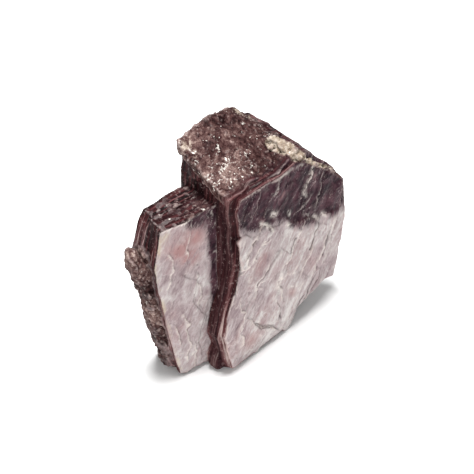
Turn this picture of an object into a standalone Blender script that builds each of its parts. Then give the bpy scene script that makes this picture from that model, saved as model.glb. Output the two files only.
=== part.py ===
"""Mica rock: two books of lilac mica sheets that grew together, with a rough roof and a lumpy rind.

The rock is one natural piece, so it is one solid. X runs along the large cleavage face, which looks
toward -Y, the sheets are stacked along Y, and Z is up. The rock stands on a flat broken foot.
"""

import math
import random

import bmesh
import bpy
from mathutils import Euler, Matrix, Vector, noise

MM = 0.001
RANDOM_SEED = 11

# The large book. An outline is a list of (x, z) corners in millimetres, counted from the foot of the
# book's front left edge, and every book's depth is counted from its own cleavage face.
BIG_DEPTH = 18.7
FRONT_SKIN_DEPTH = 1.5
PALE_SKIN_DEPTH = 0.4
FLOOR_SINK = 1.2

BIG_FRONT = [
    (-0.4, -FLOOR_SINK), (20.6, -FLOOR_SINK), (24.9, 4.4), (30.5, 7.1), (34.0, 9.9), (34.3, 15.8),
    (37.1, 20.0), (39.4, 24.7), (41.0, 31.8), (41.2, 40.4), (35.6, 46.2), (31.0, 50.8), (27.6, 54.4),
    (23.4, 56.6), (17.0, 55.6), (9.7, 56.2), (2.6, 56.6), (1.4, 53.0), (2.2, 43.8), (2.0, 35.0),
    (0.6, 27.5), (-2.4, 20.6), (-3.4, 15.0), (-1.8, 7.0),
]
BIG_SHOULDER = [
    (-0.7, -FLOOR_SINK), (20.8, -FLOOR_SINK), (24.4, 2.2), (28.2, 4.2), (32.6, 4.9), (36.4, 6.2),
    (41.4, 4.6), (43.6, 16.8), (44.1, 28.0), (42.8, 39.6), (38.2, 45.2), (34.0, 49.8), (29.9, 54.4),
    (26.4, 58.0), (23.6, 59.2), (17.0, 56.5), (8.0, 57.0), (0.2, 57.3), (0.0, 53.0), (0.6, 43.5),
    (1.2, 35.0), (-0.2, 27.5), (-3.0, 19.9), (-4.0, 14.0),
]
BIG_BACK = [
    (2.6, -FLOOR_SINK), (17.4, -FLOOR_SINK), (21.6, 2.4), (25.6, 6.0), (29.4, 9.6), (33.0, 13.6),
    (36.6, 18.6), (38.8, 25.2), (39.8, 31.6), (38.4, 38.2), (35.8, 44.8), (32.8, 50.6), (29.2, 56.3),
    (24.8, 61.0), (19.4, 63.3), (13.2, 64.6), (6.6, 64.4), (2.0, 62.6), (1.3, 56.0), (1.7, 46.0),
    (2.2, 36.0), (2.6, 27.0), (1.0, 18.0), (0.8, 8.0),
]
# The pale skin ends in a torn edge across the upper part of the large face.
PALE_SKIN = [
    (-0.2, -FLOOR_SINK), (21.0, -FLOOR_SINK), (24.4, 4.9), (30.0, 7.6), (33.4, 10.3), (33.7, 16.1),
    (36.5, 20.4), (38.6, 25.0), (40.0, 30.4), (36.6, 32.2), (33.2, 33.6), (30.6, 32.0), (26.8, 36.2),
    (23.0, 37.4), (19.4, 40.8), (15.2, 40.0), (11.4, 42.9), (7.2, 42.2), (3.2, 45.6), (1.2, 44.4),
    (2.3, 34.6), (1.1, 26.5), (-2.1, 19.9), (-3.2, 15.0), (-1.9, 8.0),
]
BACK_SKIN = [
    (4.4, -FLOOR_SINK), (17.6, -FLOOR_SINK), (24.0, 5.2), (27.4, 13.2), (33.6, 19.0), (36.2, 27.4),
    (33.0, 33.0), (28.8, 31.2), (24.2, 37.4), (20.8, 44.8), (16.2, 43.0), (12.4, 50.4), (5.8, 52.2),
    (2.6, 46.0), (3.8, 36.0), (4.2, 27.0), (2.8, 19.0), (2.2, 12.0), (3.2, 6.0),
]

# Torn flakes standing on the two cleavage faces, as (thickness, corners).
BIG_FLAKES = [
    (0.40, [(0.4, 6.2), (4.4, 8.6), (7.9, 12.1), (11.6, 8.4), (16.2, 5.2), (17.9, 10.4), (15.4, 14.6),
            (17.2, 21.7), (20.8, 28.4), (17.4, 31.4), (12.6, 27.6), (8.2, 26.6), (5.0, 20.4), (0.4, 15.4)]),
    (0.35, [(22.6, 6.4), (27.6, 9.4), (29.6, 15.8), (31.8, 22.0), (35.0, 28.6), (31.4, 31.2), (28.0, 23.6),
            (24.2, 17.8), (21.8, 11.6)]),
    (0.30, [(3.0, 33.4), (6.4, 31.2), (9.4, 35.0), (12.8, 37.4), (15.8, 39.8), (11.4, 41.6), (8.2, 41.0),
            (4.4, 37.4)]),
]
SMALL_FLAKES = [
    (0.35, [(-9.8, 0.6), (-4.8, 2.2), (-5.4, 10.0), (-3.8, 18.6), (-6.8, 25.4), (-5.6, 32.2), (-9.8, 35.8),
            (-13.6, 29.4), (-13.2, 20.4), (-11.8, 11.6)]),
    (0.30, [(-15.2, 38.6), (-11.4, 36.8), (-7.2, 41.6), (-8.8, 46.2), (-12.4, 48.6), (-14.4, 45.2)]),
]

# The small book stands against the large one's left side, turned toward the left.
SMALL_SETBACK = 6.0
SMALL_TURN = math.radians(-15.0)
SMALL_DEPTH = 10.2
SMALL_BURIED = 6.0
SMALL_FRONT = [
    (-11.2, -FLOOR_SINK), (SMALL_BURIED, -FLOOR_SINK), (SMALL_BURIED, 54.2), (-0.9, 53.6),
    (-8.0, 51.9), (-15.0, 51.7), (-16.3, 45.6), (-17.0, 41.0), (-16.5, 33.0), (-15.2, 24.7),
    (-13.6, 14.2), (-12.2, 5.0),
]
SMALL_BACK = [
    (-8.6, -FLOOR_SINK), (SMALL_BURIED, -FLOOR_SINK), (SMALL_BURIED, 53.4), (-1.0, 53.2),
    (-7.4, 52.9), (-13.9, 51.2), (-16.5, 45.2), (-18.4, 39.0), (-16.4, 31.6), (-14.2, 23.6),
    (-11.8, 13.6), (-10.0, 5.0),
]

# How many sheets the solid shows in each book, and how rough their broken edges are.
BIG_SHEETS = 11
SMALL_SHEETS = 6
SHEET_OVERLAP = 0.35
EDGE_STEP = 4.0
SHEET_SHIFT = 0.55
EDGE_ROUGHNESS = 0.45
FLAKE_STEP = 2.0
FLAKE_ROUGHNESS = 0.55

# The rind: a lumpy rim down the small book's outer edge, as (u, z, radius) in that book's own frame.
RIND_DEPTH = 6.2
RIND_ROUTE = [
    (-19.9, 43.0, 0.9), (-19.6, 41.2, 1.8), (-18.8, 38.4, 2.2), (-17.4, 34.6, 2.3), (-16.2, 30.0, 2.5),
    (-15.2, 24.4, 2.6),
    (-14.1, 18.0, 2.7), (-12.8, 11.6, 2.7), (-11.4, 5.4, 2.7), (-10.1, -0.8, 2.5),
]
RIND_STRETCH = 1.45
RIND_ROUGHNESS = 0.85
RIND_LUMP = 2.6

# The roof crust lies on the large book's sloping top: its corners' heights, and its side edges in X.
ROOF_HEIGHTS = {"front_left": 58.0, "front_right": 56.8, "back_left": 64.2, "back_right": 63.9}
ROOF_CROWN = 2.4
ROOF_LEFT_FRONT = -0.3
ROOF_LEFT_BACK = 0.9
ROOF_RIGHT_FRONT = 22.0
ROOF_RIGHT_BACK = 20.8
ROOF_START = 2.4
ROOF_THICKNESS = 3.0
ROOF_ROUGHNESS = 0.7
ROOF_LUMP = 2.2
ROOF_CUTS = 12

# Lumps grown into the sheets, as (centre, radii, turn in degrees), in millimetres.
LUMPS = {
    "ridge_flake": ((23.4, 3.8, 58.3), (2.1, 5.0, 1.4), (28.0, 0.0, 27.0)),
    "roof_corner": ((4.6, 14.4, 62.9), (4.2, 3.6, 1.3), (20.0, -10.0, 0.0)),
    "roof_middle": ((9.4, 4.8, 58.4), (5.2, 3.0, 1.3), (20.0, 4.0, 10.0)),
    "rind_heel": ((-8.8, 13.6, 8.0), (3.0, 4.0, 8.4), (0.0, 12.0, -15.0)),
    "junction_foot": ((-1.3, 5.0, 1.4), (2.3, 2.9, 5.4), (0.0, -6.0, -40.0)),
    "back_foot": ((11.0, 17.4, 7.6), (9.6, 3.0, 7.6), (0.0, 24.0, 0.0)),
    "back_rib": ((-6.8, 16.0, 22.0), (6.0, 3.4, 17.0), (0.0, 8.0, -15.0)),
    "back_patch": ((27.4, 17.6, 30.0), (7.6, 2.2, 9.6), (0.0, -30.0, 0.0)),
}
LUMP_ROUGHNESS = 0.3

ROCK_COLOUR = (0.36, 0.26, 0.30, 1.0)


def clear_scene():
    for obj in list(bpy.data.objects):
        bpy.data.objects.remove(obj, do_unlink=True)


def new_collection(name):
    collection = bpy.data.collections.new(name)
    bpy.context.scene.collection.children.link(collection)
    return collection


def rock_material():
    material = bpy.data.materials.new("lilac_mica")
    material.use_nodes = True
    shader = material.node_tree.nodes["Principled BSDF"]
    shader.inputs["Base Color"].default_value = ROCK_COLOUR
    shader.inputs["Roughness"].default_value = 0.45
    shader.inputs["Metallic"].default_value = 0.0
    material.diffuse_color = ROCK_COLOUR
    return material


def blended(first, second, share):
    """The outline that lies this share of the way from the first one to the second."""
    return [
        (a[0] + (b[0] - a[0]) * share, a[1] + (b[1] - a[1]) * share)
        for a, b in zip(first, second)
    ]


def broken_edge(corners, depth, shift, roughness, step=EDGE_STEP, buried_right_of=None):
    """Divides an outline's sides and pushes the points in and out, as a broken sheet's edge runs."""
    points = []
    for i, corner in enumerate(corners):
        start = Vector(corner)
        side = Vector(corners[(i + 1) % len(corners)]) - start
        outward = Vector((side.y, -side.x)).normalized()
        count = max(1, round(side.length / step))
        for k in range(count):
            point = start + side * (k / count)
            wave = noise.noise(Vector((point.x * 0.16, depth * 0.55, point.y * 0.16)))
            push = shift + roughness * (1.6 * wave + random.uniform(-0.4, 0.4))
            buried = buried_right_of is not None and point.x > buried_right_of
            points.append(point if buried else point + outward * push)
    return points


def sheet(name, corners, near, far, place, collection):
    """One flat sheet: an outline in X and Z, as thick as the way from the near depth to the far one."""
    curve = bpy.data.curves.new(name, "CURVE")
    curve.dimensions = "2D"
    curve.fill_mode = "BOTH"
    curve.extrude = (far - near) / 2 * MM
    spline = curve.splines.new("POLY")
    spline.points.add(len(corners) - 1)
    for target, (x, z) in zip(spline.points, corners):
        target.co = (x * MM, z * MM, 0.0, 1.0)
    spline.use_cyclic_u = True
    outline = bpy.data.objects.new(name + "_outline", curve)
    collection.objects.link(outline)
    middle = Matrix.Translation((0.0, (near + far) / 2 * MM, 0.0))
    outline.matrix_world = place @ middle @ Matrix.Rotation(math.radians(90.0), 4, "X")
    return solid_from_curve(name, outline, collection)


def solid_from_curve(name, outline, collection):
    """A mesh object with welded caps in place of a curve, which no Boolean takes."""
    bpy.context.view_layer.update()
    evaluated = outline.evaluated_get(bpy.context.evaluated_depsgraph_get())
    mesh = bpy.data.meshes.new_from_object(evaluated)
    work = bmesh.new()
    work.from_mesh(mesh)
    bmesh.ops.remove_doubles(work, verts=work.verts, dist=0.02 * MM)
    bmesh.ops.recalc_face_normals(work, faces=work.faces)
    work.to_mesh(mesh)
    work.free()
    solid = bpy.data.objects.new(name, mesh)
    solid.matrix_world = outline.matrix_world.copy()
    collection.objects.link(solid)
    bpy.data.objects.remove(outline, do_unlink=True)
    return solid


def sheet_depths(count, near, far):
    """Uneven sheet boundaries from the near depth to the far one."""
    shares = [random.uniform(0.6, 1.5) for _ in range(count)]
    total = sum(shares)
    depths = [near]
    for share in shares:
        depths.append(depths[-1] + share / total * (far - near))
    return depths


def make_flakes(name, flakes, place, collection):
    """Thin torn flakes that stand a little in front of a cleavage face."""
    for i, (thickness, corners) in enumerate(flakes):
        torn = broken_edge(corners, 5.0 + i, 0.0, FLAKE_ROUGHNESS, step=FLAKE_STEP)
        sheet(f"{name}_flake_{i}", torn, -thickness, 0.2, place, collection)


def make_large_book(collection):
    place = Matrix.Identity(4)
    pale = broken_edge(PALE_SKIN, 0.0, 0.0, FLAKE_ROUGHNESS, step=FLAKE_STEP)
    sheet("pale_skin", pale, 0.0, PALE_SKIN_DEPTH + 0.1, place, collection)
    front = broken_edge(BIG_FRONT, 1.0, 0.0, 0.2)
    sheet("front_skin", front, PALE_SKIN_DEPTH, FRONT_SKIN_DEPTH + SHEET_OVERLAP, place, collection)
    depths = sheet_depths(BIG_SHEETS, FRONT_SKIN_DEPTH, BIG_DEPTH)
    for i, (near, far) in enumerate(zip(depths, depths[1:])):
        share = (near - FRONT_SKIN_DEPTH) / (BIG_DEPTH - FRONT_SKIN_DEPTH)
        shift = random.uniform(-SHEET_SHIFT, SHEET_SHIFT * 0.5)
        corners = broken_edge(blended(BIG_SHOULDER, BIG_BACK, share), near, shift, EDGE_ROUGHNESS)
        sheet(f"big_sheet_{i}", corners, near, far + SHEET_OVERLAP, place, collection)
    back = broken_edge(BACK_SKIN, 30.0, 0.0, 0.7, step=FLAKE_STEP)
    sheet("back_skin", back, BIG_DEPTH - 0.2, BIG_DEPTH + 1.0, place, collection)
    make_flakes("big", BIG_FLAKES, place, collection)


def small_book_place():
    return Matrix.Translation((0.0, SMALL_SETBACK * MM, 0.0)) @ Matrix.Rotation(SMALL_TURN, 4, "Z")


def make_small_book(collection):
    place = small_book_place()
    depths = sheet_depths(SMALL_SHEETS, 0.0, SMALL_DEPTH)
    for i, (near, far) in enumerate(zip(depths, depths[1:])):
        shift = 0.0 if i == 0 else random.uniform(-SHEET_SHIFT, SHEET_SHIFT * 0.3)
        roughness = 0.15 if i == 0 else EDGE_ROUGHNESS
        outline = blended(SMALL_FRONT, SMALL_BACK, near / SMALL_DEPTH)
        corners = broken_edge(outline, 40.0 + near, shift, roughness, buried_right_of=1.0)
        sheet(f"small_sheet_{i}", corners, near, far + SHEET_OVERLAP, place, collection)
    make_flakes("small", SMALL_FLAKES, place, collection)


def roughen(obj, scale, amount):
    """Pushes a mesh's points in and out along their normals by smooth noise."""
    mesh = obj.data
    points = [vertex.co.copy() for vertex in mesh.vertices]
    normals = [vertex.normal.copy() for vertex in mesh.vertices]
    for vertex, point, normal in zip(mesh.vertices, points, normals):
        seen = (obj.matrix_world @ point) / (scale * MM)
        push = noise.noise(seen) + 0.5 * noise.noise(seen * 2.3)
        vertex.co = point + normal * push * amount
    mesh.update()


def make_rind(collection):
    """The lumpy rim is a thick wire through the route's points, stretched along the sheets' stacking."""
    curve = bpy.data.curves.new("rind", "CURVE")
    curve.dimensions = "3D"
    curve.bevel_depth = MM
    curve.bevel_resolution = 4
    curve.use_fill_caps = True
    curve.resolution_u = 3
    spline = curve.splines.new("NURBS")
    spline.points.add(len(RIND_ROUTE) - 1)
    for point, (u, z, radius) in zip(spline.points, RIND_ROUTE):
        point.co = (u * MM, 0.0, z * MM, 1.0)
        point.radius = radius
    spline.use_endpoint_u = True
    spline.order_u = 3
    outline = bpy.data.objects.new("rind_route", curve)
    collection.objects.link(outline)
    stretch = Matrix.Diagonal((1.0, RIND_STRETCH, 1.0, 1.0))
    outline.matrix_world = small_book_place() @ Matrix.Translation((0.0, RIND_DEPTH * MM, 0.0)) @ stretch
    rind = solid_from_curve("rind", outline, collection)
    roughen(rind, RIND_LUMP, RIND_ROUGHNESS * MM)


def roof_height(across, back):
    """The crust's mean height: sloping up to the back, and arched there from left to right."""
    heights = ROOF_HEIGHTS
    front_z = heights["front_left"] + (heights["front_right"] - heights["front_left"]) * across
    back_z = heights["back_left"] + (heights["back_right"] - heights["back_left"]) * across
    arch = 4.0 * across * (1.0 - across) * ROOF_CROWN * back
    return front_z + (back_z - front_z) * back + arch


def make_roof(collection):
    """A slab in the plane of the sloping top, cut into small squares and shaken up and down."""
    mesh = bpy.data.meshes.new("roof_crust")
    work = bmesh.new()
    bmesh.ops.create_cube(work, size=1.0)
    bmesh.ops.subdivide_edges(work, edges=work.edges, cuts=ROOF_CUTS, use_grid_fill=True)
    for vertex in work.verts:
        across, back, up = (value + 0.5 for value in vertex.co)
        right = ROOF_RIGHT_FRONT + (ROOF_RIGHT_BACK - ROOF_RIGHT_FRONT) * back
        left = ROOF_LEFT_FRONT + (ROOF_LEFT_BACK - ROOF_LEFT_FRONT) * back
        x = left + (right - left) * across
        y = ROOF_START + (BIG_DEPTH + 0.6 - ROOF_START) * back
        z = roof_height(across, back) + ROOF_THICKNESS * (up - 0.95)
        seen = Vector((x, y, 0.4 * z)) / ROOF_LUMP
        sideways = noise.noise_vector(seen * 0.7) * 0.6 * ROOF_ROUGHNESS
        lift = ROOF_ROUGHNESS * (noise.noise(seen) + 0.6 * noise.noise(seen * 2.3))
        vertex.co = Vector((x + sideways.x, y + sideways.y * (1.0 - back), z + lift)) * MM
    bmesh.ops.recalc_face_normals(work, faces=work.faces)
    work.to_mesh(mesh)
    work.free()
    collection.objects.link(bpy.data.objects.new("roof_crust", mesh))


def make_lumps(collection):
    for name, (centre, radii, turn) in LUMPS.items():
        mesh = bpy.data.meshes.new(name)
        work = bmesh.new()
        bmesh.ops.create_icosphere(work, subdivisions=3, radius=1.0)
        turned = Euler([math.radians(angle) for angle in turn]).to_matrix()
        for vertex in work.verts:
            seen = vertex.co * 1.9 + Vector(centre)
            lump = 1.0 + LUMP_ROUGHNESS * (noise.noise(seen) + 0.6 * noise.noise(seen * 2.1))
            spot = Vector([r * value * lump for r, value in zip(radii, vertex.co)])
            vertex.co = (Vector(centre) + turned @ spot) * MM
        work.to_mesh(mesh)
        work.free()
        collection.objects.link(bpy.data.objects.new(name, mesh))


def make_floor_cutter(collection):
    bpy.ops.mesh.primitive_cube_add(size=0.2, location=(0.0, 0.0, -0.1))
    cutter = bpy.context.object
    cutter.name = "floor_cutter"
    cutter.display_type = "WIRE"
    cutter.hide_render = True
    for owner in cutter.users_collection:
        owner.objects.unlink(cutter)
    collection.objects.link(cutter)
    return cutter


def joined(pieces, floor):
    """One closed mesh from all the pieces, cut flat at the floor."""
    first = pieces.objects["front_skin"]
    pieces.objects.unlink(first)
    bpy.context.scene.collection.objects.link(first)
    union = first.modifiers.new("union", "BOOLEAN")
    union.operation = "UNION"
    union.operand_type = "COLLECTION"
    union.collection = pieces
    union.solver = "MANIFOLD"
    foot = first.modifiers.new("flat_foot", "BOOLEAN")
    foot.operation = "DIFFERENCE"
    foot.object = floor
    foot.solver = "MANIFOLD"
    bpy.context.view_layer.update()
    evaluated = first.evaluated_get(bpy.context.evaluated_depsgraph_get())
    mesh = bpy.data.meshes.new_from_object(evaluated)
    mesh.transform(first.matrix_world)
    bpy.data.objects.remove(first, do_unlink=True)
    return mesh


def centred(mesh):
    """Cuts the faces into triangles, and centres the rock over the origin."""
    work = bmesh.new()
    work.from_mesh(mesh)
    bmesh.ops.triangulate(work, faces=work.faces)
    low = [min(vertex.co[k] for vertex in work.verts) for k in range(3)]
    high = [max(vertex.co[k] for vertex in work.verts) for k in range(3)]
    centre = Vector(((low[0] + high[0]) / 2, (low[1] + high[1]) / 2, low[2]))
    bmesh.ops.translate(work, verts=work.verts, vec=-centre)
    work.to_mesh(mesh)
    work.free()
    print("rock moved by", [round(value / MM, 3) for value in -centre], "mm")
    return mesh


def main():
    clear_scene()
    random.seed(RANDOM_SEED)
    pieces = new_collection("sheets_and_crusts")
    cutters = new_collection("cutters")
    finished = new_collection("mica_rock")
    make_large_book(pieces)
    make_small_book(pieces)
    make_rind(pieces)
    make_roof(pieces)
    make_lumps(pieces)
    floor = make_floor_cutter(cutters)
    mesh = centred(joined(pieces, floor))
    for obj in [*pieces.objects, floor]:
        bpy.data.objects.remove(obj, do_unlink=True)
    rock = bpy.data.objects.new("mica_rock", mesh)
    finished.objects.link(rock)
    mesh.materials.clear()
    mesh.materials.append(rock_material())
    print("mica_rock:", len(mesh.polygons), "triangles")


main()
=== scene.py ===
# %% [markdown]
# # A lilac mica rock
#
# Mica grows in books: stacks of sheets thinner than paper that split from each other as flat, pearly
# cleavage faces. This rock is two such books that grew together, with a dark layered edge between them,
# a rough crust on the sloping top and a lumpy rind down one side.
#
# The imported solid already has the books, their thicker sheets and the lumps. This script keeps its outline,
# and adds what a hand lens would show: torn flakes, cracks, hair-thin sheet edges, crumbs and colours.

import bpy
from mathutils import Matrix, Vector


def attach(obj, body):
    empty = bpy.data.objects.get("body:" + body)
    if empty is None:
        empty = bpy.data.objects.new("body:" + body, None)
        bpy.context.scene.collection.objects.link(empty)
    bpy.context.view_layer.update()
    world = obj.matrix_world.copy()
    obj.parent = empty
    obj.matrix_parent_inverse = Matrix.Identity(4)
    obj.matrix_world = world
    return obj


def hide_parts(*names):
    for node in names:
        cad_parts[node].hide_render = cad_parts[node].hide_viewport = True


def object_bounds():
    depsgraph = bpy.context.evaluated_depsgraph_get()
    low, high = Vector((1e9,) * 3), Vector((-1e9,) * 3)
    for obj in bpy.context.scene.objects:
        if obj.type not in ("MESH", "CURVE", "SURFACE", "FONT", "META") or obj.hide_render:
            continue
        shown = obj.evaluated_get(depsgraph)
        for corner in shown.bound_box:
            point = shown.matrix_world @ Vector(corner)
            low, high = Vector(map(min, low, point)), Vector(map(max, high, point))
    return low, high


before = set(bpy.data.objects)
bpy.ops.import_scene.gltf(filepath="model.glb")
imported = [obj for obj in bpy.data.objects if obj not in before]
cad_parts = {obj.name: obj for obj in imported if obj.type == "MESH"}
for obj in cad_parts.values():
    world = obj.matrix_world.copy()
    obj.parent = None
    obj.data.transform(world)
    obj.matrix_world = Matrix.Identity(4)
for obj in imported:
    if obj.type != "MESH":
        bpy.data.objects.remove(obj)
cad_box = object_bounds()
print("solids:", sorted(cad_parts))

# %% Tools of the lesson
import math

import bpy
import numpy as np
from mathutils import Vector

MM = 0.001

# %% [markdown]
# ## Where things are
#
# All places below are in millimetres from the foot of the large book's front left edge: x runs along its
# cleavage face, y into the stack of sheets and z up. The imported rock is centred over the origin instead, so
# one shift leads from one to the other. The small book has its own axes, because its sheets are turned: u runs
# along its face and w into its stack.

# %% The rock's own coordinates
FOOT_SHIFT = np.array([-12.532, -10.042, 0.0])
SMALL_CORNER = np.array([0.0, 6.0, 0.0])
SMALL_TURN = math.radians(-15.0)
SMALL_U = np.array([math.cos(SMALL_TURN), math.sin(SMALL_TURN), 0.0])
SMALL_W = np.array([-math.sin(SMALL_TURN), math.cos(SMALL_TURN), 0.0])


def rock_place(point):
    """A place in millimetres from the foot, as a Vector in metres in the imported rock's frame."""
    return Vector([(value + shift) * MM for value, shift in zip(point, FOOT_SHIFT)])


def small_book_places(places):
    """How far each point lies along the small book's face, and how deep in its stack."""
    from_corner = places - SMALL_CORNER
    return from_corner @ SMALL_U, from_corner @ SMALL_W


print("foot of the large book:", [round(value, 4) for value in rock_place((0, 0, 0))])

# %% [markdown]
# ## The camera
#
# The photograph looks down on the rock from about forty degrees, along the corner between the two books, with
# a long lens. The camera is set up first.

# %% Camera
CAMERA_ELEVATION = math.radians(42.0)
CAMERA_AZIMUTH = math.radians(-46.5)
CAMERA_DISTANCE = 0.3485
CAMERA_TARGET = (20.0, 17.9, 22.95)
CAMERA_LENS = 100.0
SENSOR_WIDTH = 36.0


def toward_camera():
    across = math.cos(CAMERA_ELEVATION)
    return Vector((
        math.sin(CAMERA_AZIMUTH) * across,
        -math.cos(CAMERA_AZIMUTH) * across,
        math.sin(CAMERA_ELEVATION),
    ))


camera_data = bpy.data.cameras.new("photo_camera")
camera_data.lens = CAMERA_LENS
camera_data.sensor_width = SENSOR_WIDTH
camera_data.clip_start = 0.01
camera = bpy.data.objects.new("photo_camera", camera_data)
bpy.context.scene.collection.objects.link(camera)
camera.location = rock_place(CAMERA_TARGET) + toward_camera() * CAMERA_DISTANCE
camera.rotation_euler = toward_camera().to_track_quat("Z", "Y").to_euler()
bpy.context.scene.camera = camera
print("camera at", [round(value, 3) for value in camera.location])

# %% [markdown]
# ## A skin fine enough to carve
#
# The solid has a few thousand large triangles. Subdividing them would keep their uneven sizes, so a copy of it
# is merged and voxel remesh wraps it in an even net of small squares, as a sculptor would before adding
# detail. The copy stands for the solid, which stays in place for the physics.

# %% Copy the solid and remesh the copy
MERGE_GAP = 0.005 * MM
VOXEL = 0.22 * MM
SMOOTHING_ROUNDS = 2


def select_only(obj):
    bpy.ops.object.select_all(action="DESELECT")
    obj.select_set(True)
    bpy.context.view_layer.objects.active = obj


def apply_modifier(obj, kind, **settings):
    modifier = obj.modifiers.new(kind.lower(), kind)
    for name, value in settings.items():
        setattr(modifier, name, value)
    select_only(obj)
    bpy.ops.object.modifier_apply(modifier=modifier.name)


def merged_copy(node, name):
    copy = bpy.data.objects.new(name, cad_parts[node].data.copy())
    bpy.context.scene.collection.objects.link(copy)
    copy.data.materials.clear()
    select_only(copy)
    bpy.ops.object.mode_set(mode="EDIT")
    bpy.ops.mesh.select_all(action="SELECT")
    bpy.ops.mesh.remove_doubles(threshold=MERGE_GAP)
    bpy.ops.object.mode_set(mode="OBJECT")
    return copy


rock = merged_copy("mica_rock", "mica_books")
apply_modifier(rock, "REMESH", mode="VOXEL", voxel_size=VOXEL)
apply_modifier(rock, "SMOOTH", factor=0.5, iterations=SMOOTHING_ROUNDS)
print("remeshed:", len(rock.data.vertices), "points")

# %% [markdown]
# ## Reading the mesh as arrays
#
# Sculpting by hand can't be repeated by a script, so the points are moved all at once with numpy. Their
# places are read in the rock's own coordinates, and their normals are averaged over their neighbours, so that
# a small step doesn't hide which side of the rock a point is on.

# %% Places and smoothed normals
NORMAL_ROUNDS = 5


def read_points(mesh, what):
    values = np.empty(len(mesh.vertices) * 3, np.float32)
    mesh.vertices.foreach_get(what, values)
    return values.reshape(-1, 3).astype(float)


def read_places(mesh):
    return read_points(mesh, "co") / MM - FOOT_SHIFT


def mesh_edges(mesh):
    ends = np.empty(len(mesh.edges) * 2, np.int32)
    mesh.edges.foreach_get("vertices", ends)
    return ends.reshape(-1, 2)


def spread(values, ends, rounds):
    """Averages values over neighbouring points, several times."""
    count = len(values)
    neighbours = np.bincount(ends.ravel(), minlength=count).astype(float)
    shape = (count,) + (1,) * (values.ndim - 1)
    for _ in range(rounds):
        total = values * 1.0
        columns = total.reshape(count, -1)
        source = values.reshape(count, -1)
        for k in range(columns.shape[1]):
            columns[:, k] += np.bincount(ends[:, 0], weights=source[ends[:, 1], k], minlength=count)
            columns[:, k] += np.bincount(ends[:, 1], weights=source[ends[:, 0], k], minlength=count)
        values = total / (neighbours.reshape(shape) + 1.0)
    return values


ends = mesh_edges(rock.data)
places = read_places(rock.data)
normals = spread(read_points(rock.data, "normal"), ends, NORMAL_ROUNDS)
normals /= np.maximum(np.linalg.norm(normals, axis=1, keepdims=True), 1e-6)
print("rock spans", places.min(axis=0).round(1), "to", places.max(axis=0).round(1), "mm")

# %% [markdown]
# ## Noise made by hand
#
# Torn edges and crumbs are irregular, but the script has to give the same rock each time. Random numbers on
# the corners of a grid, blended smoothly between them, make a noise that depends on the place alone.

# %% Smooth noise
NOISE_TABLE = np.random.RandomState(7).uniform(-1.0, 1.0, 4096)
PRIMES = (73856093, 19349663, 83492791)
SEED_PRIME = 7919


def noise(points, seed=0):
    """Smooth noise from -1 to 1, with features about one unit wide."""
    corner = np.floor(points).astype(np.int64)
    share = points - corner
    share = share * share * share * (share * (share * 6.0 - 15.0) + 10.0)
    total = np.zeros(len(points))
    for step in np.ndindex(2, 2, 2):
        key = np.full(len(points), seed * SEED_PRIME, np.int64)
        weight = np.ones(len(points))
        for axis, prime in enumerate(PRIMES):
            key ^= (corner[:, axis] + step[axis]) * prime
            weight = weight * (share[:, axis] if step[axis] else 1.0 - share[:, axis])
        total += NOISE_TABLE[(key ^ (key >> 15)) & 4095] * weight
    return total


def layered_noise(points, octaves, seed=0):
    total = np.zeros(len(points))
    for octave in range(octaves):
        total += noise(points * 2.03 ** octave, seed + octave) * 0.5 ** octave
    return total


def smooth_between(values, low, high):
    share = np.clip((values - low) / (high - low), 0.0, 1.0)
    return share * share * (3.0 - 2.0 * share)


print("noise at the foot:", round(float(noise(np.zeros((1, 3)) + 0.4)[0]), 3))

# %% [markdown]
# Crumbs and chips need edges, which smooth noise doesn't have. Here centres are scattered over a grid and each
# point belongs to the nearest one: in space that gives crumbs, and on a face, drawn out along its streak, it
# gives small flat chips that each have a level and a tilt of their own.

# %% Crumb cells and chips
CHIP_WANDER = 0.22
CENTRE_JITTER = 0.45


def cell_noise(points, seed=0):
    """How far each point is from the nearest scattered centre, and a number that its cell keeps."""
    corner = np.floor(points).astype(np.int64)
    nearest = np.full(len(points), 9.0)
    kept = np.zeros(len(points))
    for step in np.ndindex(3, 3, 3):
        cell = corner + np.array(step) - 1
        key = seed * SEED_PRIME ^ cell[:, 0] * PRIMES[0] ^ cell[:, 1] * PRIMES[1] ^ cell[:, 2] * PRIMES[2]
        key = (key ^ (key >> 13)) & 4095
        jitter = [NOISE_TABLE[(key + shift) & 4095] * 0.5 + 0.5 for shift in (11, 977, 2003)]
        gap = np.linalg.norm(cell + np.stack(jitter, axis=1) - points, axis=1)
        closer = gap < nearest
        nearest = np.where(closer, gap, nearest)
        kept = np.where(closer, NOISE_TABLE[key], kept)
    return nearest, kept


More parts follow.
